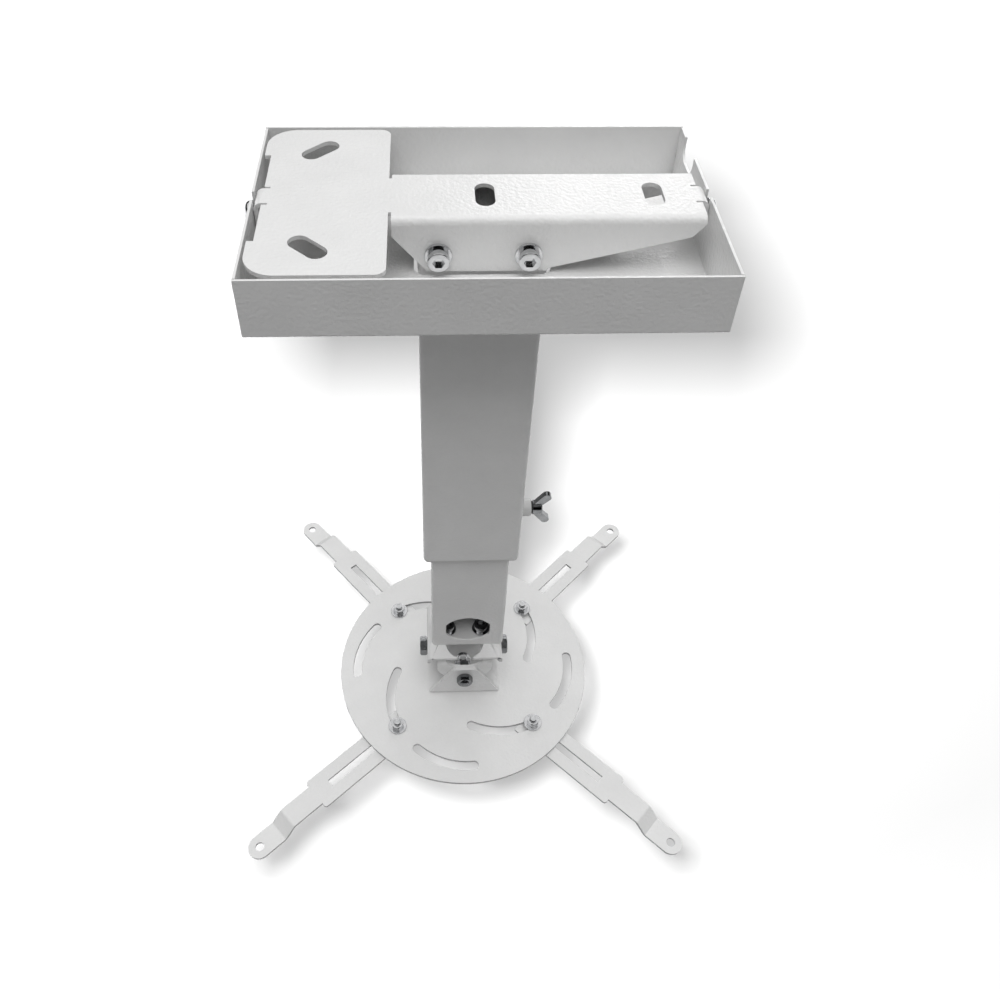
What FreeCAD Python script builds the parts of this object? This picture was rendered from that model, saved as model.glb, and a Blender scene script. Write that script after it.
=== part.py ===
import FreeCAD, Part
import math
import os

# Telescopic ceiling mount for a projector, in millimetres
# The ceiling is the plane z = 0 and the column runs straight down from it
# Seen from the front, +X is to the right and +Y points to the back

Vector = FreeCAD.Vector
ALONG_X = Vector(1, 0, 0)
ALONG_Y = Vector(0, 1, 0)
ALONG_Z = Vector(0, 0, 1)

# Fits between pieces
pivot_gap = 0.06            # radial, round a bolt that something turns on
bolt_gap = 0.25             # radial, round a bolt in a plain hole
slide_gap = 0.3             # between pieces that slide on each other
seat_gap = 0.1              # between pieces that are pushed or folded together

# M6 fasteners
m6_radius = 3.0
m6_cap_radius = 5.0
m6_cap_height = 5.0
m6_socket_across = 5.0
m6_hex_across = 10.0
m6_hex_height = 4.0
m6_nut_height = 5.0
m6_washer_radius = 6.25
m6_washer_sheet = 1.6

# M8 fasteners
m8_radius = 4.0
m8_hex_across = 12.0
m8_hex_height = 5.3
m8_nut_height = 6.5
m8_washer_radius = 6.9

# M5 fasteners
m5_radius = 2.5
m5_hex_across = 8.0
m5_hex_height = 3.5
m5_nut_height = 4.0
m5_washer_radius = 6.5
m5_washer_sheet = 1.2
m5_pan_radius = 5.0
m5_pan_height = 3.4
thread_past_nut = 1.4       # how far a bolt's end stands out of its nut

# Column: a fixed outer tube and an inner tube that slides in it
outer_width = 60.0
outer_depth = 35.5
outer_wall = 1.5
outer_corner = 3.0
outer_end = 250.75          # the outer tube's lower end, below the ceiling
inner_width = 50.7
inner_depth = 23.0
inner_wall = 1.5
inner_corner = 3.0
inner_length = 300.0
inner_end = 359.0           # the inner tube's lower end, below the ceiling
end_plate_sheet = 2.0
window_half_width = 15.3
window_rise = 6.0           # the window's lower edge above the inner tube's end
window_height = 27.4
window_arc = 18.0
small_hole_radius = 1.6
small_hole_rise = 58.0      # above the inner tube's end
small_hole_forward = 5.0
guide_height = 24.0
guide_lip = 1.2
guide_lip_inset = 0.4
top_guide_height = 14.0

# Ceiling bracket: one folded sheet, a plate and a channel arm
bracket_sheet = 2.0
bracket_bend = 3.5          # outside radius of its folds
plate_left = 101.5
plate_right = 42.3
plate_half_depth = 60.0
plate_left_corner = 14.0
plate_right_corner = 5.0
recess_depth = 3.0
recess_half = 35.5
diagonal_slot_x = -75.5
diagonal_slot_y = 40.2
diagonal_slot_width = 9.6
diagonal_slot_travel = 10.9
diagonal_slot_angle = 44.0
arm_start = 41.0            # left end of the channel arm
arm_end = 98.5              # right end of the channel arm
neck_half = 14.2            # half the width that joins plate and arm
arm_depth = 27.5
arm_left_drop = 9.0         # height of the arm's left edge before it tapers
arm_bottom_left = 25.5
arm_bottom_right = 28.7
arm_step = 1.5
arm_right_drop = 10.1
arm_right_x = 93.2
arm_nose_radius = 4.0
cross_slot_x = (1.0, 77.5)
cross_slot_width = 9.0
cross_slot_length = 19.0
tab_half = 6.2
tab_root = 95.8
tab_drop = 14.0
tab_slit = 1.2
column_bolt_x = 20.4
column_bolt_drop = 18.5

# Cover tray
tray_half_width = 103.9
tray_half_depth = 63.5
tray_height = 30.0
tray_sheet = 1.2
tray_bend = 1.7
tray_opening_margin_x = 1.6
tray_opening_margin_y = 3.05
tray_opening_corner = 5.5
tray_slot_half = 3.5
cover_screw_drop = 8.0
cable_notch_y = 41.4
cable_notch_width = 20.4
cable_notch_depth = 10.6
cable_notch_corner = 6.0
seam_gap = 0.5
seam_weld_top = 4.5         # the corner seams are welded between these two depths
seam_weld_bottom = 11.6

# Locking screw and its boss
lock_rise = 30.25           # locking screw above the outer tube's end
boss_radius = 5.5
boss_length = 7.0
boss_chamfer = 0.6
wing_hub_radius = 4.6
wing_hub_length = 6.6
wing_inner_radius = 2.2
wing_tip_radius = 2.7
wing_root_out = 3.4
wing_tip_out = 10.2
wing_rise = 5.6
wing_thickness = 3.4
wing_angle = 12.0

# Tilt head: three nested folded brackets on two crossed axes
head_sheet = 2.5
head_bend = 3.5             # outside radius of the folds
head_offset = -2.0          # the head hangs a little left of the column
ear_gap = 0.1               # between the ears of nested brackets
saddle_width = 53.4
saddle_half_depth = 22.5
saddle_skirt = 6.0          # height of the ear's straight front edge
saddle_ear_radius = 11.0
notch_radius = 13.5
notch_centre_y = -9.4
notch_mouth = 11.2
saddle_screw_x = 12.0
saddle_screw_length = 10.0
collar_radius = 4.2
collar_height = 2.5
tilt_drop = 19.0            # tilt axis below the saddle's top
middle_drop = 8.5           # middle bracket's top below the saddle's top
roll_drop = 5.0             # roll axis below the tilt axis
middle_half_depth = 21.2
middle_front_radius = 20.8
middle_front_drop = 2.2     # centre of the half-round ears below the bracket's top
middle_side_radius = 10.5
middle_side_half = 15.0
trough_radius = 16.7
trough_rise = 9.5           # centre of the round trough above the bracket's top
corner_relief = 4.4
roll_height = 23.0          # roll axis above the disc
disc_bracket_width = 51.0
disc_bracket_top_width = 15.3
disc_bracket_height = 33.0
disc_bracket_corner = 3.0

# Disc with curved slots
disc_radius = 92.2
disc_sheet = 2.5
disc_slot_width = 6.6
slot_copies = 4
arm_bolt_circle = 69.2      # radius of the arm bolts at rest
inner_slot_centre = (2.4, 26.0)
inner_slot_sweep = 51.0
outer_slot_centre = (26.5, 0.9)
outer_slot_radius = 53.2
outer_slot_start = 4.5
outer_slot_sweep = 46.5

# Arms, measured outwards from the disc's centre
arm_sheet = 2.0
arm_play = 0.2              # between an arm and the disc
arm_inner = 62.0
arm_shoulder = 142.5
arm_half_width = 11.5
arm_shoulder_round = 2.0
arm_slot_start = 65.5
arm_slot_end = 130.0
arm_slot_width = 5.5
neck_width = 15.3
arm_bend_at = 166.0
arm_step_down = 8.0
arm_bend_radius = 3.0
arm_hole_at = 189.5
arm_hole_radius = 2.9
arm_angles = {"br": 45.0, "bl": 135.0, "fl": 225.0, "fr": 315.0}
arm_turns = {"br": 0.0, "bl": -5.3, "fl": -4.4, "fr": 1.2}      # about each arm's bolt

# Levels that follow from the sizes above
saddle_top = -inner_end
tilt_axis_z = saddle_top - tilt_drop
roll_axis_z = tilt_axis_z - roll_drop
disc_top = roll_axis_z - roll_height
disc_under = disc_top - disc_sheet
arm_top = disc_under - arm_play
middle_top = saddle_top - middle_drop
outer_top = -bracket_bend
lock_drop = outer_end - lock_rise
channel_half = outer_depth / 2 + bolt_gap + bracket_sheet
tab_face = tray_half_width - tray_sheet - 0.4
saddle_half = saddle_width / 2
middle_half = saddle_half - head_sheet - ear_gap
disc_bracket_half_depth = middle_half_depth + ear_gap + head_sheet
outer_inside_half_x = outer_width / 2 - outer_wall
outer_inside_half_y = outer_depth / 2 - outer_wall
inner_half_x = inner_width / 2
inner_half_y = inner_depth / 2


# Basic solids

def box(x0, x1, y0, y1, z0, z1):
    return Part.makeBox(x1 - x0, y1 - y0, z1 - z0, Vector(x0, y0, z0))


def cylinder(radius, start, step):
    start = Vector(*start)
    step = Vector(*step)
    return Part.makeCylinder(radius, step.Length, start, step)


def prism(points, step):
    corners = [Vector(*point) for point in points]
    outline = Part.makePolygon(corners + corners[:1])
    return Part.Face(outline).extrude(Vector(*step))


def fused(shapes):
    whole = shapes[0]
    for shape in shapes[1:]:
        whole = whole.fuse(shape)
    return whole.removeSplitter()


def cut(shape, cutters):
    for cutter in cutters:
        shape = shape.cut(cutter)
    return shape


def moved(shape, x, y, z):
    copy = shape.copy()
    copy.translate(Vector(x, y, z))
    return copy


def turned(shape, angle, axis=ALONG_Z, centre=(0, 0, 0)):
    copy = shape.copy()
    copy.rotate(Vector(*centre), axis, angle)
    return copy


def aimed(shape, position, direction):
    """A fastener drawn along +Z, put at a position and aimed along a direction."""
    copy = shape.copy()
    turn = FreeCAD.Rotation(ALONG_Z, Vector(*direction))
    copy.Placement = FreeCAD.Placement(Vector(*position), turn)
    return copy


def edges_along(shape, axis, test=lambda point: True):
    """Straight edges parallel to an axis whose middle passes the test."""
    found = []
    for edge in shape.Edges:
        if isinstance(edge.Curve, Part.Line):
            span = edge.Vertexes[-1].Point.sub(edge.Vertexes[0].Point)
            aligned = abs(span.dot(axis)) > 0.999 * span.Length
            if aligned and test(edge.CenterOfMass):
                found.append(edge)
    return found


def rounded_block(half_x, half_y, z0, z1, corner):
    block = box(-half_x, half_x, -half_y, half_y, z0, z1)
    return block.makeFillet(corner, edges_along(block, ALONG_Z))


def rounded_tube(half_x, half_y, z0, z1, corner, wall):
    outside = rounded_block(half_x, half_y, z0, z1, corner)
    inside = rounded_block(half_x - wall, half_y - wall, z0 - 1, z1 + 1, corner - wall)
    return outside.cut(inside)


def obround(width, travel, angle, x, y, z0, z1):
    """A straight slot's cutter: end centres a travel apart, turned in plan."""
    half = travel / 2
    ends = [cylinder(width / 2, (side * half, 0, z0), (0, 0, z1 - z0)) for side in (-1, 1)]
    middle = box(-half, half, -width / 2, width / 2, z0, z1)
    return moved(turned(fused([middle] + ends), angle), x, y, 0)


def curved_slot(centre, radius, width, start, sweep, z0, z1):
    """A slot along an arc, with round ends."""
    x, y = centre
    ring = Part.makeCylinder(radius + width / 2, z1 - z0, Vector(x, y, z0), ALONG_Z, sweep)
    core = Part.makeCylinder(radius - width / 2, z1 - z0, Vector(x, y, z0), ALONG_Z, sweep)
    pieces = [ring.cut(core)]
    for angle in (0, sweep):
        end_x = x + radius * math.cos(math.radians(angle))
        end_y = y + radius * math.sin(math.radians(angle))
        pieces.append(cylinder(width / 2, (end_x, end_y, z0), (0, 0, z1 - z0)))
    return turned(fused(pieces), start, ALONG_Z, (x, y, 0))


def channel(half_span, half_length, height, sheet, bend):
    """A sheet folded to a U: web on top at z = 0, walls at x = +-half_span, along Y."""
    outside = box(-half_span, half_span, -half_length, half_length, -height, 0)
    outside = outside.makeFillet(bend, edges_along(outside, ALONG_Y, lambda p: p.z > -sheet))
    inner = half_span - sheet
    inside = box(-inner, inner, -half_length - 1, half_length + 1, -height - 1, -sheet)
    inside = inside.makeFillet(bend - sheet, edges_along(inside, ALONG_Y, lambda p: p.z > -2 * sheet))
    return outside.cut(inside)


def cap(half_x, half_y, height, sheet, bend):
    """A sheet folded down on all four sides: web on top at z = 0."""
    outside = box(-half_x, half_x, -half_y, half_y, -height, 0)
    outside = outside.makeFillet(bend, [e for e in outside.Edges if e.BoundBox.ZMin > -sheet])
    inside = box(sheet - half_x, half_x - sheet, sheet - half_y, half_y - sheet, -height - 1, -sheet)
    inside = inside.makeFillet(bend - sheet, [e for e in inside.Edges if e.BoundBox.ZMin > -2 * sheet])
    return outside.cut(inside)


# Fasteners, drawn along +Z with the bearing face at z = 0

def hex_prism(across, height, chamfer):
    corner = across / math.sqrt(3)
    turns = [math.radians(60 * k) for k in range(6)]
    points = [(corner * math.cos(a), corner * math.sin(a), 0) for a in turns]
    body = prism(points, (0, 0, height))
    round_bar = Part.makeCylinder(corner, height)
    rims = [edge for edge in round_bar.Edges if isinstance(edge.Curve, Part.Circle)]
    return body.common(round_bar.makeChamfer(chamfer, rims))


def washer(radius, bore, sheet):
    ring = Part.makeCylinder(radius, sheet).cut(Part.makeCylinder(bore, sheet))
    rim = [e for e in ring.Edges if isinstance(e.Curve, Part.Circle) and e.Curve.Radius > bore + 0.01]
    return ring.makeFillet(sheet / 6, rim)


def nut(across, height, bore):
    return hex_prism(across, height, across / 14).cut(Part.makeCylinder(bore, height))


def rounded_shank(radius, length):
    shank = Part.makeCylinder(radius, length, Vector(0, 0, -length))
    tip = [e for e in shank.Edges if isinstance(e.Curve, Part.Circle) and e.CenterOfMass.z < -length / 2]
    return shank.makeChamfer(radius / 5, tip)


def hex_bolt(radius, length, across, height):
    return fused([hex_prism(across, height, across / 14), rounded_shank(radius, length)])


def cap_screw(radius, length, head_radius, head_height, socket):
    head = Part.makeCylinder(head_radius, head_height)
    top = [e for e in head.Edges if isinstance(e.Curve, Part.Circle) and e.CenterOfMass.z > head_height / 2]
    head = head.makeFillet(head_radius / 8, top)
    recess = hex_prism(socket, head_height, socket / 50)
    head = head.cut(moved(recess, 0, 0, head_height / 2))
    return fused([head, rounded_shank(radius, length)])


def pan_screw(radius, length, head_radius, head_height):
    head = Part.makeCylinder(head_radius, head_height)
    top = [e for e in head.Edges if isinstance(e.Curve, Part.Circle) and e.CenterOfMass.z > head_height / 2]
    head = head.makeFillet(head_height * 0.7, top)
    blade = head_radius / 6
    reach = head_radius * 0.55
    for half_x, half_y in ((reach, blade), (blade, reach)):
        head = head.cut(box(-half_x, half_x, -half_y, half_y, head_height / 2, head_height + 1))
    return fused([head, rounded_shank(radius, length)])


# Pieces fixed to the ceiling

def ceiling_bracket():
    plate = box(-plate_left, -plate_right, -plate_half_depth, plate_half_depth, -bracket_sheet, 0)
    left_edges = edges_along(plate, ALONG_Z, lambda p: p.x < -(plate_left + plate_right) / 2)
    plate = plate.makeFillet(plate_left_corner, left_edges)
    right_edges = edges_along(plate, ALONG_Z, lambda p: abs(p.x + plate_right) < 0.01)
    plate = plate.makeFillet(plate_right_corner, right_edges)
    recess_x = -plate_left + recess_depth
    plate = plate.cut(box(-plate_left - 1, recess_x, -recess_half, recess_half, -bracket_sheet, 0))
    for side in (-1, 1):
        plate = plate.cut(obround(diagonal_slot_width, diagonal_slot_travel, side * diagonal_slot_angle,
                                  diagonal_slot_x, side * diagonal_slot_y, -bracket_sheet, 0))
    neck = box(-plate_right - 1, -arm_start + 1, -neck_half, neck_half, -bracket_sheet, 0)
    arm_length = arm_start + arm_end
    arm = turned(channel(channel_half, arm_length / 2, arm_depth, bracket_sheet, bracket_bend), 90)
    arm = moved(arm, (arm_end - arm_start) / 2, 0, 0)
    outline = [
        (-arm_start, 0), (-arm_start, -arm_left_drop), (-arm_bottom_left, -arm_depth),
        (arm_bottom_right, -arm_depth), (arm_bottom_right + arm_step, -arm_depth + arm_step),
        (arm_right_x, -arm_right_drop), (arm_end, -bracket_bend), (arm_end, 0)]
    side_view = prism([(x, -channel_half - 1, z) for x, z in outline], (0, 2 * channel_half + 2, 0))
    nose = edges_along(side_view, ALONG_Y, lambda p: abs(p.x - arm_right_x) < 0.01)
    arm = arm.common(side_view.makeFillet(arm_nose_radius, nose))
    tabs = channel(tab_face, tab_half, tab_drop, bracket_sheet, bracket_bend)
    tabs = tabs.cut(box(-tab_root, tab_root, -tab_half, tab_half, -tab_drop, 0))
    slits = []
    for side in (-1, 1):
        for end in (-1, 1):
            y0, y1 = sorted((side * tab_half, side * (tab_half + tab_slit)))
            x0, x1 = sorted((end * tab_root, end * (tab_face + 1)))
            slits.append(box(x0, x1, y0, y1, -bracket_bend, 0))
    bracket = fused([plate, neck, arm])
    bracket = cut(bracket, slits)
    bracket = fused([bracket] + tabs.Solids)
    for x in cross_slot_x:
        bracket = bracket.cut(obround(cross_slot_width, cross_slot_length - cross_slot_width, 90,
                                      x, 0, -bracket_sheet, 0))
    for x in (-column_bolt_x, column_bolt_x):
        bracket = bracket.cut(cylinder(m6_radius + bolt_gap, (x, -channel_half - 1, -column_bolt_drop),
                                       (0, 2 * channel_half + 2, 0)))
    screw_line = cylinder(m5_radius + pivot_gap, (-tab_face - 1, 0, -cover_screw_drop),
                          (2 * tab_face + 2, 0, 0))
    inside = box(-arm_end, arm_end, -tab_half, tab_half, -arm_depth, 0)
    return bracket.cut(screw_line.cut(inside))


def outer_tube():
    tube = rounded_tube(outer_width / 2, outer_depth / 2, -outer_end, outer_top, outer_corner, outer_wall)
    for x in (-column_bolt_x, column_bolt_x):
        tube = tube.cut(cylinder(m6_radius + bolt_gap, (x, -outer_depth, -column_bolt_drop),
                                 (0, 2 * outer_depth, 0)))
    return tube.cut(cylinder(m6_radius + bolt_gap, (0, 0, -lock_drop), (outer_width, 0, 0)))


def wing_boss():
    boss = cylinder(boss_radius, (outer_width / 2, 0, -lock_drop), (boss_length, 0, 0))
    rims = [e for e in boss.Edges if isinstance(e.Curve, Part.Circle)]
    rim = [e for e in rims if e.CenterOfMass.x > outer_width / 2 + boss_length / 2]
    boss = boss.makeChamfer(boss_chamfer, rim)
    return boss.cut(cylinder(m6_radius + pivot_gap, (outer_width / 2, 0, -lock_drop), (boss_length, 0, 0)))


def mouth_guide():
    """Plastic liner in the column's lower mouth, with a lip under the tube's end."""
    half_x = outer_inside_half_x - seat_gap
    half_y = outer_inside_half_y - seat_gap
    sleeve = rounded_block(half_x, half_y, -outer_end, guide_height - outer_end, outer_corner - outer_wall)
    lip = rounded_block(outer_width / 2 - guide_lip_inset, outer_depth / 2 - guide_lip_inset,
                        -outer_end - guide_lip, -outer_end, outer_corner)
    bore = rounded_block(inner_half_x + slide_gap, inner_half_y + slide_gap,
                         -outer_end - guide_lip - 1, guide_height - outer_end + 1, inner_corner)
    return fused([sleeve, lip]).cut(bore)


def column_fasteners():
    """Two long bolts through channel and tube, heads in front and nuts behind."""
    grip = 2 * channel_half + 2 * m6_washer_sheet
    length = grip + m6_nut_height + thread_past_nut
    bolt = cap_screw(m6_radius, length, m6_cap_radius, m6_cap_height, m6_socket_across)
    ring = washer(m6_washer_radius, m6_radius + bolt_gap, m6_washer_sheet)
    hexagon = nut(m6_hex_across, m6_nut_height, m6_radius + pivot_gap)
    bolts = []
    washers = []
    nuts = []
    for x in (-column_bolt_x, column_bolt_x):
        front = -channel_half - m6_washer_sheet
        back = channel_half + m6_washer_sheet
        bolts.append(aimed(bolt, (x, front, -column_bolt_drop), (0, -1, 0)))
        washers.append(aimed(ring, (x, -channel_half, -column_bolt_drop), (0, -1, 0)))
        washers.append(aimed(ring, (x, channel_half, -column_bolt_drop), (0, 1, 0)))
        nuts.append(aimed(hexagon, (x, back, -column_bolt_drop), (0, 1, 0)))
    return bolts, washers, nuts


def cover_screws():
    length = tray_half_width - tab_face + bracket_sheet + 2
    screw = pan_screw(m5_radius, length, m5_pan_radius, m5_pan_height)
    sides = (-1, 1)
    return [aimed(screw, (side * tray_half_width, 0, -cover_screw_drop), (side, 0, 0)) for side in sides]


# Cover tray and locking screw

def cover_tray():
    outside = box(-tray_half_width, tray_half_width, -tray_half_depth, tray_half_depth, -tray_height, 0)
    floor_edges = [e for e in outside.Edges if e.BoundBox.ZMax < -tray_height / 2]
    outside = outside.makeFillet(tray_bend, floor_edges)
    in_x = tray_half_width - tray_sheet
    in_y = tray_half_depth - tray_sheet
    inside = box(-in_x, in_x, -in_y, in_y, tray_sheet - tray_height, 1)
    inner_edges = [e for e in inside.Edges if e.BoundBox.ZMax < -tray_height / 2]
    tray = outside.cut(inside.makeFillet(tray_bend - tray_sheet, inner_edges))
    opening = rounded_block(outer_width / 2 + tray_opening_margin_x, outer_depth / 2 + tray_opening_margin_y,
                            -tray_height - 1, 0, tray_opening_corner)
    screw_slot = cylinder(tray_slot_half, (-tray_half_width - 1, 0, -cover_screw_drop),
                          (2 * tray_half_width + 2, 0, 0))
    screw_mouth = box(-tray_half_width - 1, tray_half_width + 1, -tray_slot_half, tray_slot_half,
                      -cover_screw_drop, 1)
    cable_notch = box(in_x - 1, tray_half_width + 1, cable_notch_y - cable_notch_width / 2,
                      cable_notch_y + cable_notch_width / 2, -cable_notch_depth, 1)
    notch_corners = edges_along(cable_notch, ALONG_X, lambda p: p.z < 0)
    cable_notch = cable_notch.makeFillet(cable_notch_corner, notch_corners)
    tray = cut(tray, [opening, screw_slot, screw_mouth, cable_notch])
    seam_bottom = -tray_height + tray_bend
    for side_x in (-1, 1):
        for side_y in (-1, 1):
            x0, x1 = sorted((side_x * (in_x - seam_gap), side_x * (tray_half_width + 1)))
            y0, y1 = sorted((side_y * (in_y - seam_gap), side_y * in_y))
            lower = box(x0, x1, y0, y1, seam_bottom, -seam_weld_bottom)
            upper = box(x0, x1, y0, y1, -seam_weld_top, 1)
            tray = cut(tray, [lower, upper])
    return tray


def wing_screw():
    """Screw with a hub and two lobes that spread in a V, drawn along +Z."""
    tip = inner_half_x + slide_gap
    seat = outer_width / 2 + boss_length + slide_gap
    shank = rounded_shank(m6_radius, seat - tip)
    hub = Part.makeCylinder(wing_hub_radius, wing_hub_length)
    rims = [e for e in hub.Edges if isinstance(e.Curve, Part.Circle)]
    hub = hub.makeFillet(wing_hub_radius / 4, rims)
    lobes = []
    for side in (-1, 1):
        root = (side * wing_root_out, -wing_thickness / 2, wing_hub_length / 2)
        end = (side * wing_tip_out, -wing_thickness / 2, wing_hub_length / 2 + wing_rise)
        across = Vector(end[0] - root[0], 0, end[2] - root[2])
        normal = Vector(-across.z, 0, across.x).normalize()
        corners = []
        for centre, radius, sign in ((root, wing_inner_radius, 1), (end, wing_tip_radius, 1),
                                     (end, wing_tip_radius, -1), (root, wing_inner_radius, -1)):
            corner = Vector(*centre).add(Vector(normal.x * radius * sign, 0, normal.z * radius * sign))
            corners.append(tuple(corner))
        step = (0, wing_thickness, 0)
        blade = fused([prism(corners, step), cylinder(wing_inner_radius, root, step),
                       cylinder(wing_tip_radius, end, step)])
        lobes.append(blade)
    wings = fused(lobes + [hub])
    screw = fused([wings, shank])
    screw = turned(screw, wing_angle)
    return aimed(screw, (seat, 0, -lock_drop), (1, 0, 0))


# Inner tube and what is fixed to it

def window_cutter(y0, y1):
    bottom = window_rise - inner_end
    middle = bottom + window_height / 2
    shape = box(-window_half_width, window_half_width, y0, y1, bottom, bottom + window_height)
    for side in (-1, 1):
        centre = middle + side * (window_height / 2 - window_arc)
        shape = shape.common(cylinder(window_arc, (0, y0, centre), (0, y1 - y0, 0)))
    return shape


def inner_tube():
    tube = rounded_tube(inner_half_x, inner_half_y, -inner_end, inner_length - inner_end,
                        inner_corner, inner_wall)
    tube = tube.cut(window_cutter(-inner_half_y - 1, 0))
    level = small_hole_rise - inner_end
    return tube.cut(cylinder(small_hole_radius, (0, -small_hole_forward, level), (inner_width, 0, 0)))


def end_plate():
    plate = rounded_block(inner_half_x - inner_wall - seat_gap, inner_half_y - inner_wall - seat_gap,
                          -inner_end, -inner_end + end_plate_sheet, inner_corner - inner_wall)
    holes = [cylinder(m6_radius + bolt_gap, (head_offset + x, 0, -inner_end - 1), (0, 0, end_plate_sheet + 2))
             for x in (-saddle_screw_x, saddle_screw_x)]
    return cut(plate, holes)


def top_guide():
    """Plastic collar round the inner tube's upper end, with a lip over the end."""
    top = inner_length - inner_end
    low = top - top_guide_height
    block = rounded_block(outer_inside_half_x - slide_gap, outer_inside_half_y - slide_gap,
                          low, top + guide_lip, outer_corner - outer_wall)
    seat = rounded_block(inner_half_x + seat_gap, inner_half_y + seat_gap, low - 1, top, inner_corner)
    hole = rounded_block(inner_half_x - inner_wall, inner_half_y - inner_wall,
                         top - 1, top + guide_lip + 1, inner_corner - inner_wall)
    return cut(block, [seat, hole])


def ear_shape(half_top, skirt, radius, drop, along_x, half_span):
    """A prism with an ear's outline, running across the bracket."""
    swing = math.acos(radius / math.hypot(half_top, drop - skirt))
    lean = math.atan2(drop - skirt, half_top)
    touch = (radius * math.cos(lean - swing), radius * math.sin(lean - swing) - drop)
    outline = [(half_top, 1), (half_top, -skirt), touch, (0, -drop), (-touch[0], touch[1]),
               (-half_top, -skirt), (-half_top, 1)]
    if along_x:
        points = [(-half_span, across, up) for across, up in outline]
        step = (2 * half_span, 0, 0)
    else:
        points = [(across, -half_span, up) for across, up in outline]
        step = (0, 2 * half_span, 0)
    return fused([prism(points, step), cylinder(radius, tuple(Vector(*points[3])), step)])


def saddle_bracket():
    """Folded cap with two ears, a round notch in front and two threaded collars."""
    depth = tilt_drop + saddle_ear_radius
    saddle = channel(saddle_half, saddle_half_depth, depth, head_sheet, head_bend)
    saddle = saddle.common(ear_shape(saddle_half_depth, saddle_skirt, saddle_ear_radius, tilt_drop,
                                     True, saddle_half + 1))
    notch = cylinder(notch_radius, (0, notch_centre_y, -head_sheet - 1), (0, 0, head_sheet + 2))
    notch = notch.common(box(-saddle_half, saddle_half, -saddle_half_depth, notch_centre_y, -depth, 1))
    mouth = box(-notch_mouth / 2, notch_mouth / 2, -saddle_half_depth - 1, notch_centre_y, -head_sheet - 1, 1)
    saddle = cut(saddle, [notch, mouth])
    for x in (-saddle_screw_x, saddle_screw_x):
        collar = cylinder(collar_radius, (x, 0, -head_sheet - collar_height), (0, 0, collar_height + 1))
        saddle = saddle.fuse(collar)
    saddle = saddle.removeSplitter()
    holes = [cylinder(m6_radius + pivot_gap, (x, 0, -depth), (0, 0, depth + 1))
             for x in (-saddle_screw_x, saddle_screw_x)]
    holes.append(cylinder(m8_radius + bolt_gap, (-saddle_half - 1, 0, -tilt_drop), (saddle_width + 2, 0, 0)))
    return moved(cut(saddle, holes), 0, 0, saddle_top)


def saddle_fasteners():
    seat = -inner_end + end_plate_sheet
    screw = cap_screw(m6_radius, saddle_screw_length, m6_cap_radius, m6_cap_height, m6_socket_across)
    ring = washer(m6_washer_radius, m6_radius + bolt_gap, m6_washer_sheet)
    places = (-saddle_screw_x, saddle_screw_x)
    screws = [moved(screw, x, 0, seat + m6_washer_sheet) for x in places]
    washers = [moved(ring, x, 0, seat) for x in places]
    return screws, washers


def axis_fasteners(outer_face, inner_face, level, across, sizes, head_outside):
    """One short bolt at each end of an axis, with its washer inside and its head or its nut outside."""
    radius, hex_across, hex_height, nut_height, washer_radius = sizes
    length = m6_washer_sheet + outer_face - inner_face + nut_height + thread_past_nut
    bolt = hex_bolt(radius, length, hex_across, hex_height)
    ring = washer(washer_radius, radius + bolt_gap, m6_washer_sheet)
    hexagon = nut(hex_across, nut_height, radius + pivot_gap)
    inner_seat = inner_face - m6_washer_sheet
    bolts = []
    washers = []
    nuts = []
    for side in (-1, 1):
        outwards = Vector(*across).multiply(side)
        inwards = Vector(*across).multiply(-side)
        lift = Vector(0, 0, level)
        outer_point = tuple(Vector(outwards).multiply(outer_face).add(lift))
        inner_point = tuple(Vector(outwards).multiply(inner_seat).add(lift))
        washers.append(aimed(ring, inner_point, tuple(outwards)))
        if head_outside:
            bolts.append(aimed(bolt, outer_point, tuple(outwards)))
            nuts.append(aimed(hexagon, inner_point, tuple(inwards)))
        else:
            bolts.append(aimed(bolt, inner_point, tuple(inwards)))
            nuts.append(aimed(hexagon, outer_point, tuple(outwards)))
    return bolts, washers, nuts


# Tilting and rolling brackets

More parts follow.
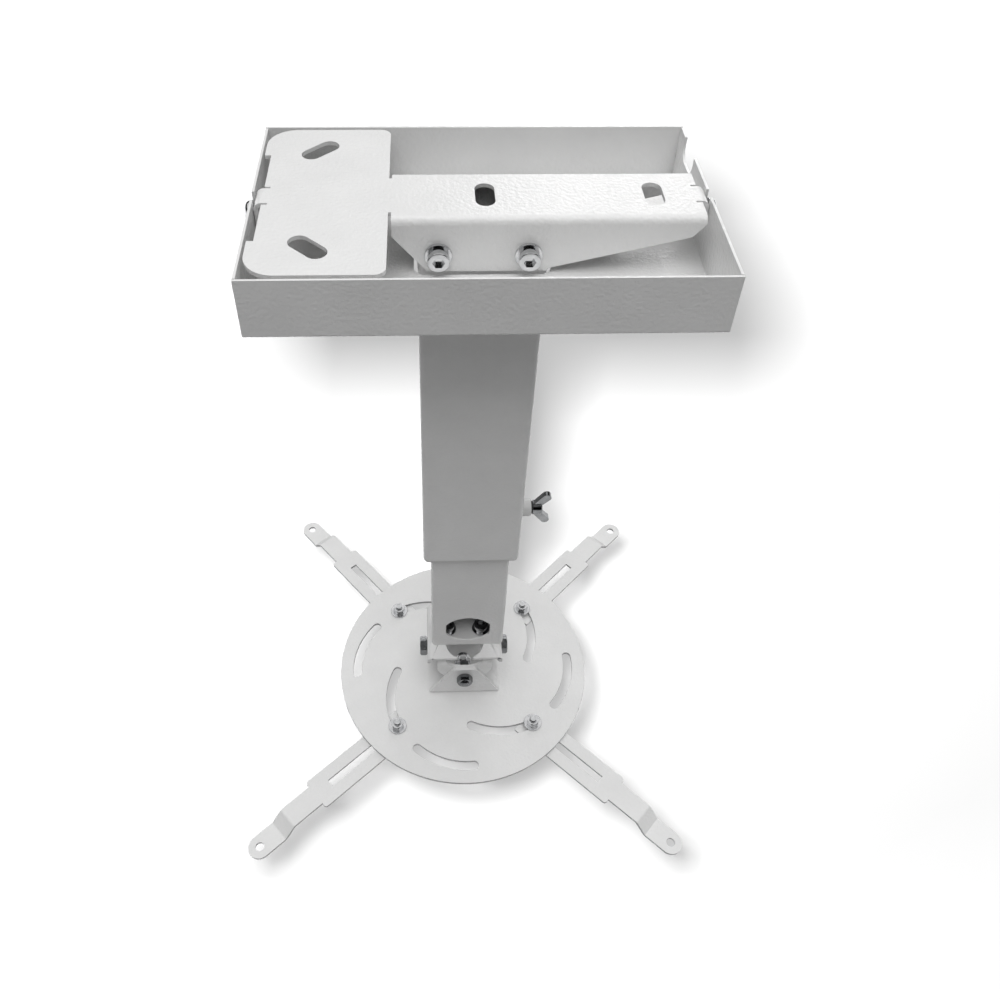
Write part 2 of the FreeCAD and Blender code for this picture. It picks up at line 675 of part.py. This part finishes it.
def middle_bracket():
    """Folded cap with four ears and a round trough across it from front to back."""
    tilt_level = middle_drop - tilt_drop
    roll_level = tilt_level - roll_drop
    side_drop = -tilt_level
    depth = middle_front_drop + middle_front_radius + 1
    shell = cap(middle_half, middle_half_depth, depth, head_sheet, head_bend)
    side_ears = ear_shape(middle_side_half, head_bend, middle_side_radius, side_drop, True, middle_half + 1)
    inner_x = middle_half - head_bend
    side_ears = side_ears.cut(box(-inner_x, inner_x, -depth, depth, -2 * depth, 1))
    front_ears = cylinder(middle_front_radius, (0, -middle_half_depth - 1, -middle_front_drop),
                          (0, 2 * middle_half_depth + 2, 0))
    inner_y = middle_half_depth - head_bend
    front_ears = front_ears.cut(box(-middle_half, middle_half, -inner_y, inner_y, -2 * depth, depth))
    web = box(-middle_half, middle_half, -middle_half_depth, middle_half_depth, -head_sheet, 1)
    bracket = shell.common(fused([web, side_ears, front_ears]))
    corners = []
    for side_x in (-1, 1):
        for side_y in (-1, 1):
            x0, x1 = sorted((side_x * (middle_half - corner_relief), side_x * (middle_half + 1)))
            y0, y1 = sorted((side_y * (middle_half_depth - corner_relief), side_y * (middle_half_depth + 1)))
            corners.append(box(x0, x1, y0, y1, -depth, 1))
    trough = cylinder(trough_radius, (0, -middle_half_depth - 1, trough_rise),
                      (0, 2 * middle_half_depth + 2, 0))
    tilt_hole = cylinder(m8_radius + pivot_gap, (-middle_half - 1, 0, tilt_level),
                         (2 * middle_half + 2, 0, 0))
    roll_hole = cylinder(m6_radius + bolt_gap, (0, -middle_half_depth - 1, roll_level),
                         (0, 2 * middle_half_depth + 2, 0))
    bracket = cut(bracket, corners + [trough, tilt_hole, roll_hole])
    return moved(bracket, 0, 0, middle_top)


def disc_bracket():
    """Folded U that stands on the disc, with trapezoid ears in front and behind."""
    bracket = channel(disc_bracket_half_depth, disc_bracket_width / 2, disc_bracket_height,
                      head_sheet, head_bend)
    bracket = turned(turned(bracket, 90), 180, ALONG_X)
    bottom = disc_bracket_width / 2
    top = disc_bracket_top_width / 2
    outline = [(-bottom, 0), (bottom, 0), (bottom, head_sheet), (top, disc_bracket_height),
               (-top, disc_bracket_height), (-bottom, head_sheet)]
    reach = disc_bracket_half_depth + 1
    front_view = prism([(x, -reach, z) for x, z in outline], (0, 2 * reach, 0))
    upper = edges_along(front_view, ALONG_Y, lambda p: p.z > disc_bracket_height - 0.01)
    bracket = bracket.common(front_view.makeFillet(disc_bracket_corner, upper))
    roll_hole = cylinder(m6_radius + pivot_gap, (0, -reach, roll_height), (0, 2 * reach, 0))
    swivel_hole = cylinder(m6_radius + bolt_gap, (0, 0, -1), (0, 0, head_sheet + 2))
    return moved(cut(bracket, [roll_hole, swivel_hole]), 0, 0, disc_top)


def swivel_fasteners():
    """Centre bolt: head and washer under the disc, washer and nut on the bracket."""
    stack = 2 * m6_washer_sheet + disc_sheet + head_sheet
    bolt = hex_bolt(m6_radius, stack + m6_nut_height + thread_past_nut, m6_hex_across, m6_hex_height)
    ring = washer(m6_washer_radius, m6_radius + bolt_gap, m6_washer_sheet)
    hexagon = nut(m6_hex_across, m6_nut_height, m6_radius + pivot_gap)
    bolt = aimed(bolt, (0, 0, disc_under - m6_washer_sheet), (0, 0, -1))
    lower = aimed(ring, (0, 0, disc_under), (0, 0, -1))
    upper = moved(ring, 0, 0, disc_top + head_sheet)
    hexagon = moved(hexagon, 0, 0, disc_top + head_sheet + m6_washer_sheet)
    return bolt, [lower, upper], hexagon


# Disc and arms

def inner_slot_radius():
    """From the slot's centre to an arm bolt at rest, on the disc's 45 degree line."""
    bolt = arm_bolt_circle / math.sqrt(2)
    return math.hypot(bolt - inner_slot_centre[0], bolt - inner_slot_centre[1])


def inner_slot_end():
    bolt = arm_bolt_circle / math.sqrt(2)
    return math.degrees(math.atan2(bolt - inner_slot_centre[1], bolt - inner_slot_centre[0]))


def disc():
    plate = Part.makeCylinder(disc_radius, disc_sheet, Vector(0, 0, disc_under))
    plate = plate.cut(cylinder(m6_radius + pivot_gap, (0, 0, disc_under - 1), (0, 0, disc_sheet + 2)))
    inner = curved_slot(inner_slot_centre, inner_slot_radius(), disc_slot_width,
                        inner_slot_end() - inner_slot_sweep, inner_slot_sweep, disc_under - 1, disc_top + 1)
    outer = curved_slot(outer_slot_centre, outer_slot_radius, disc_slot_width,
                        outer_slot_start - outer_slot_sweep, outer_slot_sweep, disc_under - 1, disc_top + 1)
    for copy in range(slot_copies):
        angle = copy * 360 / slot_copies
        plate = cut(plate, [turned(inner, angle), turned(outer, angle)])
    return plate


def arm():
    """One arm, drawn along +X with its top at z = 0: a slotted bar that steps down to its eye."""
    tip = arm_hole_at + neck_width / 2
    down = arm_step_down
    shift = arm_sheet * math.tan(math.radians(22.5))
    profile = [
        (arm_inner, 0), (arm_bend_at, 0), (arm_bend_at + down, -down), (tip, -down),
        (tip, -down - arm_sheet), (arm_bend_at + down - shift, -down - arm_sheet),
        (arm_bend_at - shift, -arm_sheet), (arm_inner, -arm_sheet)]
    strip = prism([(x, -arm_half_width, z) for x, z in profile], (0, 2 * arm_half_width, 0))
    upper_bend = edges_along(strip, ALONG_Y, lambda p: abs(p.x - arm_bend_at) < 0.01)
    upper_bend += edges_along(strip, ALONG_Y, lambda p: abs(p.x - arm_bend_at - down + shift) < 0.01)
    strip = strip.makeFillet(arm_bend_radius, upper_bend)
    at_step = edges_along(strip, ALONG_Y, lambda p: abs(p.x - arm_bend_at - down) < 0.01)
    lower_bend = [e for e in at_step if e.CenterOfMass.z > -down - 0.01]
    lower_bend += edges_along(strip, ALONG_Y, lambda p: abs(p.x - arm_bend_at + shift) < 0.01 and p.z < -1)
    strip = strip.makeFillet(arm_bend_radius - arm_sheet, lower_bend)
    low = -down - arm_sheet - 1
    wide = box(arm_inner, arm_shoulder, -arm_half_width, arm_half_width, low, 1)
    shoulders = edges_along(wide, ALONG_Z, lambda p: p.x > arm_shoulder - 0.01)
    wide = wide.makeFillet(arm_shoulder_round, shoulders)
    neck = box(arm_shoulder - 1, arm_hole_at, -neck_width / 2, neck_width / 2, low, 1)
    eye = cylinder(neck_width / 2, (arm_hole_at, 0, low), (0, 0, 1 - low))
    bar = strip.common(fused([wide, neck, eye]))
    slot = box(arm_slot_start, arm_slot_end, -arm_slot_width / 2, arm_slot_width / 2, low, 1)
    hole = cylinder(arm_hole_radius, (arm_hole_at, 0, low), (0, 0, 1 - low))
    return cut(bar, [slot, hole])


def arm_fasteners():
    """Bolt from below, with washers on both sides and a nut on the disc."""
    under = arm_top - arm_sheet
    stack = 2 * m5_washer_sheet + arm_sheet + arm_play + disc_sheet
    bolt = hex_bolt(m5_radius, stack + m5_nut_height + thread_past_nut, m5_hex_across, m5_hex_height)
    ring = washer(m5_washer_radius, m5_radius + bolt_gap, m5_washer_sheet)
    hexagon = nut(m5_hex_across, m5_nut_height, m5_radius + pivot_gap)
    at = arm_bolt_circle
    bolt = aimed(bolt, (at, 0, under - m5_washer_sheet), (0, 0, -1))
    lower = aimed(ring, (at, 0, under), (0, 0, -1))
    upper = moved(ring, at, 0, disc_top)
    hexagon = moved(hexagon, at, 0, disc_top + m5_washer_sheet)
    return {"arm_bolt": bolt, "arm_lower_washer": lower, "arm_washer": upper, "arm_nut": hexagon}


def head():
    """Everything below the column, drawn round x = 0: name to a list of solids."""
    nodes = {
        "saddle_bracket": [saddle_bracket()],
        "middle_bracket": [middle_bracket()],
        "disc_bracket": [disc_bracket()],
        "disc": [disc()],
    }
    nodes["saddle_screws"], nodes["saddle_washers"] = saddle_fasteners()
    tilt_sizes = (m8_radius, m8_hex_across, m8_hex_height, m8_nut_height, m8_washer_radius)
    tilt = axis_fasteners(saddle_half, middle_half - head_sheet, tilt_axis_z, (1, 0, 0), tilt_sizes, True)
    nodes["tilt_bolts"], nodes["tilt_washers"], nodes["tilt_nuts"] = tilt
    roll_sizes = (m6_radius, m6_hex_across, m6_hex_height, m6_nut_height, m6_washer_radius)
    roll = axis_fasteners(disc_bracket_half_depth, middle_half_depth - head_sheet, roll_axis_z, (0, 1, 0),
                          roll_sizes, False)
    nodes["roll_bolts"], nodes["roll_washers"], nodes["roll_nuts"] = roll
    bolt, washers, hexagon = swivel_fasteners()
    nodes["swivel_bolt"] = [bolt]
    nodes["swivel_washers"] = washers
    nodes["swivel_nut"] = [hexagon]
    bar = moved(arm(), 0, 0, arm_top)
    for place, angle in arm_angles.items():
        set_bar = turned(bar, arm_turns[place], ALONG_Z, (arm_bolt_circle, 0, 0))
        nodes["arm_" + place] = [turned(set_bar, angle)]
        for name, shape in arm_fasteners().items():
            nodes[name + "_" + place] = [turned(shape, angle)]
    return nodes


def build():
    """Every node of the mount: name to a list of solids."""
    nodes = {
        "ceiling_bracket": [ceiling_bracket()],
        "outer_tube": [outer_tube()],
        "wing_boss": [wing_boss()],
        "mouth_guide": [mouth_guide()],
        "cover_screws": cover_screws(),
        "cover_tray": [cover_tray()],
        "wing_screw": [wing_screw()],
        "inner_tube": [inner_tube()],
        "end_plate": [end_plate()],
        "top_guide": [top_guide()],
    }
    nodes["column_bolts"], nodes["column_washers"], nodes["column_nuts"] = column_fasteners()
    for name, solids in head().items():
        nodes[name] = [moved(solid, head_offset, 0, 0) for solid in solids]
    return nodes


def save(nodes):
    os.makedirs("parts", exist_ok=True)
    for name, solids in nodes.items():
        for solid in solids:
            if not solid.isValid() or len(solid.Solids) != 1:
                raise ValueError(f"{name} is not one valid solid")
        shape = solids[0] if len(solids) == 1 else Part.makeCompound(solids)
        shape.exportStep(f"parts/{name}.step")
    print(len(nodes), "nodes written")


save(build())
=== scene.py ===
import math

import bpy
from mathutils import Matrix, Vector


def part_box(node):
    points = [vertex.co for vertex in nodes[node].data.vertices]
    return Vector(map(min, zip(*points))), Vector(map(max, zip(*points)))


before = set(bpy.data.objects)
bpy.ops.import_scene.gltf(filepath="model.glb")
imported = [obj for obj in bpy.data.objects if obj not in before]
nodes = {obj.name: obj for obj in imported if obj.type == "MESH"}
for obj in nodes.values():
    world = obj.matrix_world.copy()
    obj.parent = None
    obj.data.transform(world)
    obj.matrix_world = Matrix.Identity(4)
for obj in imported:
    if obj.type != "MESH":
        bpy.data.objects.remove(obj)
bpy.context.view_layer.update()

scene = bpy.context.scene
scene.view_settings.view_transform = "Standard"


# Nodes

def feed(tree, node, inputs):
    """Gives each named input its value, or links it to the output that feeds it."""
    for name, source in inputs.items():
        if isinstance(source, bpy.types.NodeSocket):
            tree.links.new(source, node.inputs[name])
        else:
            node.inputs[name].default_value = source


def add_node(tree, kind, inputs=None, **settings):
    """A new node with its settings and its inputs."""
    node = tree.nodes.new(kind)
    for name, value in settings.items():
        setattr(node, name, value)
    feed(tree, node, inputs or {})
    return node


def empty_tree(owner):
    """The cleared node tree of a material or a world."""
    owner.use_nodes = True
    owner.node_tree.nodes.clear()
    return owner.node_tree


def new_material(name):
    """A material that holds only a surface shader, together with its tree and that shader."""
    material = bpy.data.materials.new(name)
    tree = empty_tree(material)
    shader = tree.nodes.new("ShaderNodeBsdfPrincipled")
    add_node(tree, "ShaderNodeOutputMaterial", {"Surface": shader.outputs["BSDF"]})
    return material, tree, shader


def axes(tree, coordinates):
    """The X, Y and Z outputs of a kind of texture coordinates."""
    place = tree.nodes.new("ShaderNodeTexCoord")
    return add_node(tree, "ShaderNodeSeparateXYZ", {"Vector": place.outputs[coordinates]}).outputs


def maths(tree, operation, *inputs):
    """The result of one arithmetic step on up to three inputs."""
    node = add_node(tree, "ShaderNodeMath", dict(enumerate(inputs)), operation=operation)
    return node.outputs["Value"]


def local_noise(tree, scale, detail=2.0, roughness=0.5, stretch=(1.0, 1.0, 1.0)):
    """Noise in the piece's own coordinates, so that it moves with the piece."""
    place = tree.nodes.new("ShaderNodeTexCoord")
    mapping = add_node(tree, "ShaderNodeMapping", {"Vector": place.outputs["Object"], "Scale": stretch})
    noise = add_node(tree, "ShaderNodeTexNoise", {
        "Vector": mapping.outputs["Vector"],
        "Scale": scale,
        "Detail": detail,
        "Roughness": roughness,
    })
    return noise.outputs["Fac"]


# The middle of a noise's range, which is the part of it that is stretched over a finish
noise_low = 0.3
noise_high = 0.7


def spread(tree, value, low, high, start=noise_low, end=noise_high):
    """A value that goes from low to high while the given one goes from start to end."""
    node = add_node(tree, "ShaderNodeMapRange", {
        "Value": value,
        "From Min": start,
        "From Max": end,
        "To Min": low,
        "To Max": high,
    })
    return node.outputs["Result"]


def colour_between(tree, noise, colours):
    """A colour that runs from the first to the second with a noise."""
    ramp = add_node(tree, "ShaderNodeValToRGB", {"Fac": noise})
    for stop, position, colour in zip(ramp.color_ramp.elements, (noise_low, noise_high), colours):
        stop.position = position
        stop.color = (*colour, 1.0)
    return ramp.outputs["Color"]


def mix_colour(tree, factor, first, second):
    """The first colour where the factor is 0, the second where it is 1."""
    inputs = {"Factor": factor, "A": first, "B": second}
    return add_node(tree, "ShaderNodeMix", inputs, data_type="RGBA").outputs["Result"]


def mix_shader(tree, factor, first, second):
    """The first shader where the factor is 0, the second where it is 1."""
    inputs = {"Fac": factor, 1: first, 2: second}
    return add_node(tree, "ShaderNodeMixShader", inputs).outputs["Shader"]


def bump(tree, height, depth, under=None):
    """A bump of that depth in metres, laid over another one if given."""
    node = add_node(tree, "ShaderNodeBump", {"Height": height, "Distance": depth})
    if under is not None:
        tree.links.new(under, node.inputs["Normal"])
    return node.outputs["Normal"]


def inside_of(tree, middle, half):
    """1 within a block and 0 outside it. Its middle and half sizes are in the piece's own coordinates."""
    place = axes(tree, "Object")
    along_x, along_y, along_z = (
        maths(tree, "COMPARE", place[axis], centre, reach)
        for axis, centre, reach in zip("XYZ", middle, half)
    )
    return maths(tree, "MULTIPLY", maths(tree, "MULTIPLY", along_x, along_y), along_z)


# How far a face's normal points up or down, where an upright cut edge ends and a flat face begins
edge_steepness = 0.15
face_steepness = 0.45


def cut_edge(tree):
    """1 on the upright cut edges of a sheet that lies flat in its own coordinates, 0 on its faces."""
    steepness = maths(tree, "ABSOLUTE", axes(tree, "Normal")["Z"])
    return spread(tree, steepness, 1.0, 0.0, edge_steepness, face_steepness)


# Colours of the finishes, each from its darkest to its lightest

coat_colours = ((0.815, 0.815, 0.812), (0.855, 0.855, 0.852))
# painted shade: dark grey for the dim inside of the tube, drawn as dull uncoated steel
tube_shade_colours = ((0.16, 0.16, 0.165), (0.24, 0.24, 0.245))
# painted shade: darker grey for the dark outlines on the upright cut edges of the disc and arms
edge_shade_colours = ((0.30, 0.30, 0.305), (0.40, 0.40, 0.405))
zinc_colours = ((0.58, 0.59, 0.60), (0.76, 0.76, 0.77))
# painted dark: a low colour for the chrome, as painted reflection of dark surroundings
chrome_painted_dark_colours = ((0.17, 0.175, 0.18), (0.27, 0.275, 0.28))
plastic_colours = ((0.70, 0.70, 0.69), (0.75, 0.75, 0.74))

# Their roughness, from its lowest to its highest

coat_roughness = (0.42, 0.56)
zinc_roughness = (0.08, 0.17)
chrome_roughness = (0.05, 0.11)
plastic_roughness = (0.45, 0.6)

# Depths of their bumps, in metres

grain_depth = 0.00002
peel_depth = 0.00032
scratch_depth = 0.000008
lump_depth = 0.00012


# Finishes

def powder_coat(name, shade_block=None, shade_edges=False):
    """White powder coat: flowed orange peel under a soft gloss, a fine grain and a slightly uneven film.

    Within the shade block, given by its middle and half sizes, the colour is a dark grey: painted shade for
    the dim inside of a tube, drawn as dull uncoated steel. With shade_edges, the upright cut edges of a
    sheet are painted a darker grey: painted shade for the dark outlines along them.
    """
    material, tree, shader = new_material(name)
    film = local_noise(tree, scale=38.0, detail=3.0)
    colour = colour_between(tree, film, coat_colours)
    # painted shade inside the block: dark grey for the dim inside of the tube
    if shade_block is not None:
        inside_shade = colour_between(tree, local_noise(tree, scale=160.0, detail=4.0), tube_shade_colours)
        colour = mix_colour(tree, inside_of(tree, *shade_block), colour, inside_shade)
    # painted shade on the upright cut edges: a darker grey for their dark outlines
    if shade_edges:
        painted_edge_shade = colour_between(tree, local_noise(tree, scale=300.0, detail=3.0), edge_shade_colours)
        colour = mix_colour(tree, cut_edge(tree), colour, painted_edge_shade)
    grain = local_noise(tree, scale=1900.0)
    peel = local_noise(tree, scale=520.0, roughness=0.45)
    surface = bump(tree, peel, peel_depth, under=bump(tree, grain, grain_depth))
    feed(tree, shader, {
        "Base Color": colour,
        "Roughness": spread(tree, grain, *coat_roughness),
        "Normal": surface,
        "IOR": 1.5,
        "Coat Weight": 0.65,
        "Coat Roughness": 0.10,
        "Coat IOR": 1.5,
        "Coat Normal": surface,
    })
    return material


def bright_zinc():
    """Bright zinc plate on turned and pressed hardware, with faint cloudy patches and fine scratches."""
    material, tree, shader = new_material("zinc_plate")
    cloud = local_noise(tree, scale=260.0, detail=3.0)
    scratches = local_noise(tree, scale=1500.0, detail=3.0, roughness=0.6, stretch=(1.0, 1.0, 6.0))
    feed(tree, shader, {
        "Base Color": colour_between(tree, cloud, zinc_colours),
        "Metallic": 1.0,
        "Roughness": spread(tree, scratches, *zinc_roughness),
        "Normal": bump(tree, scratches, scratch_depth),
    })
    return material


def chrome():
    """Chrome on the wing screw and the hinge bolts: nearly a mirror, over a slightly lumpy casting. Its
    colour is painted dark, as painted reflection of dark surroundings.
    """
    material, tree, shader = new_material("chrome_cast")
    cloud = local_noise(tree, scale=300.0)
    lumps = local_noise(tree, scale=350.0, detail=1.0)
    feed(tree, shader, {
        "Base Color": colour_between(tree, cloud, chrome_painted_dark_colours),
        "Metallic": 1.0,
        "Roughness": spread(tree, cloud, *chrome_roughness),
        "Normal": bump(tree, lumps, lump_depth),
    })
    return material


def moulded_plastic():
    """White moulded plastic of the sliding guides: matt, with a fine spark grain."""
    material, tree, shader = new_material("plastic_white")
    cloud = local_noise(tree, scale=60.0)
    grain = local_noise(tree, scale=2400.0)
    feed(tree, shader, {
        "Base Color": colour_between(tree, cloud, plastic_colours),
        "Roughness": spread(tree, grain, *plastic_roughness),
        "Normal": bump(tree, grain, grain_depth),
    })
    return material


# The finish of each node

tube_low, tube_high = (Vector(corner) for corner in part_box("inner_tube"))
tube_wall = 0.00145         # a hair less than the tube's wall, so that its inner faces count as inside
tube_spare = 0.001          # how far the painted shade block reaches past the tube's ends
tube_middle = (tube_low + tube_high) / 2
tube_inside = (tube_high - tube_low) / 2 - Vector((tube_wall, tube_wall, -tube_spare))

finish_of_slot = {
    "powder_coat": powder_coat("powder_coat_white"),
    "zinc": bright_zinc(),
    "chrome": chrome(),
    "plastic": moulded_plastic(),
}
# the inner tube's coat, with painted shade inside it
shaded_tube_coat = powder_coat("powder_coat_tube_shade", shade_block=(tube_middle, tube_inside))
# the disc's and arms' coat, with painted shade on their cut edges
edge_shaded_coat = powder_coat("powder_coat_edge_shade", shade_edges=True)

plastic_nodes = ("mouth_guide", "top_guide")
chrome_nodes = ("wing_screw", "tilt_bolts", "tilt_nuts", "roll_bolts", "roll_nuts")
cut_sheet_nodes = ("disc", "arm_br", "arm_bl", "arm_fl", "arm_fr")
folded_nodes = (
    "ceiling_bracket", "outer_tube", "wing_boss", "cover_tray", "inner_tube", "end_plate",
    "saddle_bracket", "middle_bracket", "disc_bracket",
)

# Widths of the rounded edges, in metres

coat_edge = 0.00028
casting_edge = 0.0007
plated_edge = 0.00018
sharp_angle = 40.0          # edges that turn by more degrees than this are rounded
weld_distance = 0.000001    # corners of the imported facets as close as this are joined


def slot_of(name):
    """The name of the finish that a node has."""
    if name in plastic_nodes:
        return "plastic"
    if name in chrome_nodes:
        return "chrome"
    if name in cut_sheet_nodes or name in folded_nodes:
        return "powder_coat"
    return "zinc"


def soften(piece, width, segments=2):
    """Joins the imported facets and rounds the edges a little, as the coat or the mould does."""
    weld = piece.modifiers.new("weld", "WELD")
    weld.merge_threshold = weld_distance
    bevel = piece.modifiers.new("edge", "BEVEL")
    bevel.width = width
    bevel.segments = segments
    bevel.limit_method = "ANGLE"
    bevel.angle_limit = math.radians(sharp_angle)
    piece.modifiers.new("normals", "WEIGHTED_NORMAL")


for name, piece in nodes.items():
    slot = slot_of(name)
    finish = finish_of_slot[slot]
    if name == "inner_tube":
        finish = shaded_tube_coat
    elif name in cut_sheet_nodes:
        finish = edge_shaded_coat
    for material_slot in piece.material_slots:
        material_slot.material = finish
    if slot == "powder_coat":
        soften(piece, coat_edge)
    elif name == "wing_screw":
        soften(piece, casting_edge, segments=3)
    elif slot != "plastic":
        soften(piece, plated_edge)


# Camera, at the photograph's place

def camera_matrix(place, yaw, pitch, roll):
    """The camera's matrix from its place in metres and its angles in degrees.

    Yaw turns it to the right, pitch down and roll clockwise.
    """
    y, p, r = (math.radians(angle) for angle in (yaw, pitch, roll))
    level = Vector((math.sin(y), math.cos(y), 0.0))
    side = Vector((math.cos(y), -math.sin(y), 0.0))
    vertical = Vector((0.0, 0.0, 1.0))
    forward = level * math.cos(p) - vertical * math.sin(p)
    up = level * math.sin(p) + vertical * math.cos(p)
    right_rolled = side * math.cos(r) + up * math.sin(r)
    up_rolled = up * math.cos(r) - side * math.sin(r)
    matrix = Matrix((right_rolled, up_rolled, -forward)).transposed().to_4x4()
    matrix.translation = Vector(place)
    return matrix


camera_data = bpy.data.cameras.new("camera")
camera_data.sensor_fit = "HORIZONTAL"
camera_data.sensor_width = 36.0
camera_data.lens = 33.565
camera_data.shift_x = 0.040
camera_data.shift_y = -0.070
camera_data.clip_start = 0.01
camera_data.clip_end = 50.0
camera = bpy.data.objects.new("camera", camera_data)
camera.matrix_world = camera_matrix((-0.02619, -0.36948, 0.22512), yaw=2.821, pitch=45.498, roll=1.221)
scene.collection.objects.link(camera)
scene.camera = camera


# Floor

floor_height = -0.70
floor_half = 9.0
floor_tone = 0.04           # how much of the picture lamp's light the floor shows
floor_grading = 0.85        # and how that grows for each metre towards the back
floor_bounce = 0.085        # what the floor throws back at the object
shadow_middle = (0.1, 0.75, floor_height)
shadow_glow = 0.48          # the floor's own light round that middle
shadow_reach = 0.85         # how far from the middle it stays so
white_reach = 1.7           # how far from the middle the floor is plain white


def shown_rays(tree):
    """1 for the rays that show the background: from the camera, off a gloss or through glass."""
    path = tree.nodes.new("ShaderNodeLightPath").outputs
    seen = maths(tree, "MAXIMUM", path["Is Camera Ray"], path["Is Glossy Ray"])
    return maths(tree, "MAXIMUM", seen, path["Is Transmission Ray"])


def floor_material():
    """A white floor that keeps the picture lamp's shadow and throws a little even light at the object.

    It is clear from below, so that the object's underside can be looked at from under the floor.
    """
    material = bpy.data.materials.new("floor_white")
    tree = empty_tree(material)
    back_tone = floor_tone * (1.0 + floor_grading * floor_half)
    tone = spread(tree, axes(tree, "Object")["Y"], floor_tone, back_tone, 0.0, floor_half)
    matt = add_node(tree, "ShaderNodeBsdfDiffuse", {"Color": tone})
    place = tree.nodes.new("ShaderNodeTexCoord").outputs["Object"]
    away = add_node(tree, "ShaderNodeVectorMath", {0: place, 1: shadow_middle}, operation="DISTANCE")
    glow = spread(tree, away.outputs["Value"], shadow_glow, 1.0, shadow_reach, white_reach)
    white = add_node(tree, "ShaderNodeEmission", {"Strength": glow})
    shown = add_node(tree, "ShaderNodeAddShader", {0: matt.outputs["BSDF"], 1: white.outputs["Emission"]})
    bounce = add_node(tree, "ShaderNodeEmission", {"Strength": floor_bounce})
    above = mix_shader(tree, shown_rays(tree), bounce.outputs["Emission"], shown.outputs["Shader"])
    backfacing = tree.nodes.new("ShaderNodeNewGeometry").outputs["Backfacing"]
    clear = tree.nodes.new("ShaderNodeBsdfTransparent").outputs["BSDF"]
    add_node(tree, "ShaderNodeOutputMaterial", {"Surface": mix_shader(tree, backfacing, above, clear)})
    return material


floor_mesh = bpy.data.meshes.new("floor")
corners = [
    (-floor_half, -floor_half, floor_height),
    (floor_half, -floor_half, floor_height),
    (floor_half, floor_half, floor_height),
    (-floor_half, floor_half, floor_height),
]
floor_mesh.from_pydata(corners, [], [(0, 1, 2, 3)])
floor = bpy.data.objects.new("floor", floor_mesh)
floor.data.materials.append(floor_material())
scene.collection.objects.link(floor)


# Surroundings

world_fill = 0.22           # the even light on the object from all round
reflected_bottom = 1.0      # what metal sees at the horizon and below it
reflected_top = 0.80        # and straight above
reflected_levels = ((0.16, 1.0), (0.22, 0.02), (0.66, 0.02), (0.74, 0.90))   # height and level between them
reflected_front = 0.10      # how much of it is left on the side where the camera stands
front_end = -0.55           # the direction's Y where that side ends
back_start = -0.25          # and where the full level begins


def grey(level):
    """A grey of that level."""
    return (level, level, level, 1.0)


def background(tree, colour, strength):
    """The world's light of that colour and strength."""
    inputs = {"Color": colour, "Strength": strength}
    return add_node(tree, "ShaderNodeBackground", inputs).outputs["Background"]


def studio_world():
    """White where the camera looks. Metal sees white low down, a dark band and a soft ceiling above it."""
    world = bpy.data.worlds.new("studio")
    scene.world = world
    tree = empty_tree(world)
    direction = axes(tree, "Generated")
    band = add_node(tree, "ShaderNodeValToRGB", {"Fac": direction["Z"]})
    stops = band.color_ramp.elements
    stops[0].color = grey(reflected_bottom)
    stops[1].color = grey(reflected_top)
    for position, level in reflected_levels:
        stops.new(position).color = grey(level)
    strength = spread(tree, direction["Y"], reflected_front, 1.0, front_end, back_start)
    reflected = background(tree, band.outputs["Color"], strength)
    white = background(tree, grey(1.0), 1.0)
    fill = background(tree, grey(1.0), world_fill)
    off_gloss = tree.nodes.new("ShaderNodeLightPath").outputs["Is Glossy Ray"]
    shown = mix_shader(tree, off_gloss, white, reflected)
    add_node(tree, "ShaderNodeOutputWorld", {"Surface": mix_shader(tree, shown_rays(tree), fill, shown)})


studio_world()


# Lamps

def place_lamp(name, data, toward):
    """Puts a lamp into the scene, turned so that it shines along a direction."""
    lamp = bpy.data.objects.new(name, data)
    lamp.rotation_mode = "QUATERNION"
    lamp.rotation_quaternion = Vector(toward).to_track_quat("-Z", "Y")
    scene.collection.objects.link(lamp)
    return lamp


def far_lamp(name, toward, strength, degrees):
    """A very distant soft lamp. At strength 1 a colour that faces it renders as it is written."""
    data = bpy.data.lights.new(name, "SUN")
    data.energy = math.pi * strength
    data.angle = math.radians(degrees)
    return place_lamp(name, data, toward)


def panel_lamp(name, place, toward, size, watts):
    """A rectangular panel of light."""
    data = bpy.data.lights.new(name, "AREA")
    data.shape = "RECTANGLE"
    data.size, data.size_y = size
    data.energy = watts
    lamp = place_lamp(name, data, toward)
    lamp.location = place
    return lamp


def picture_lamp(size, strength):
    """A small lamp just up and to the left of the camera, for the soft shadow beside the object.

    It lights the floor alone, and evenly however far the floor is.
    """
    camera_axes = camera.matrix_world.to_3x3()
    beside = camera_axes @ Vector((-1.0, 1.0, 0.0)) * (size / 2)
    forward = camera_axes @ Vector((0.0, 0.0, -1.0))
    place = camera.matrix_world.translation + beside
    lamp = panel_lamp("picture", place, forward, (size, size), math.pi ** 2 * strength)
    lamp.data.use_nodes = True
    tree = lamp.data.node_tree
    even = add_node(tree, "ShaderNodeLightFalloff", {"Strength": 1.0})
    feed(tree, tree.nodes["Emission"], {"Strength": even.outputs["Constant"]})
    lamp.visible_camera = False
    lamp.visible_glossy = False
    lamp.visible_transmission = False
    lit = bpy.data.collections.new("lit_by_picture_lamp")
    lit.objects.link(floor)
    lamp.light_linking.receiver_collection = lit


overhead = panel_lamp("overhead", (0.0, -0.1, 3.5), toward=(0.0, 0.0, -1.0), size=(4.4, 4.4), watts=127.0)
overhead.visible_camera = False
overhead.visible_glossy = False
front = far_lamp("front", toward=(0.05, 0.52, -0.85), strength=0.105, degrees=25.0)
front.visible_glossy = False
panel_lamp("window", (0.49, 1.90, 0.90), toward=(-0.25, -0.88, -0.42), size=(0.70, 0.50), watts=4.2)
picture_lamp(size=0.055, strength=17.0)
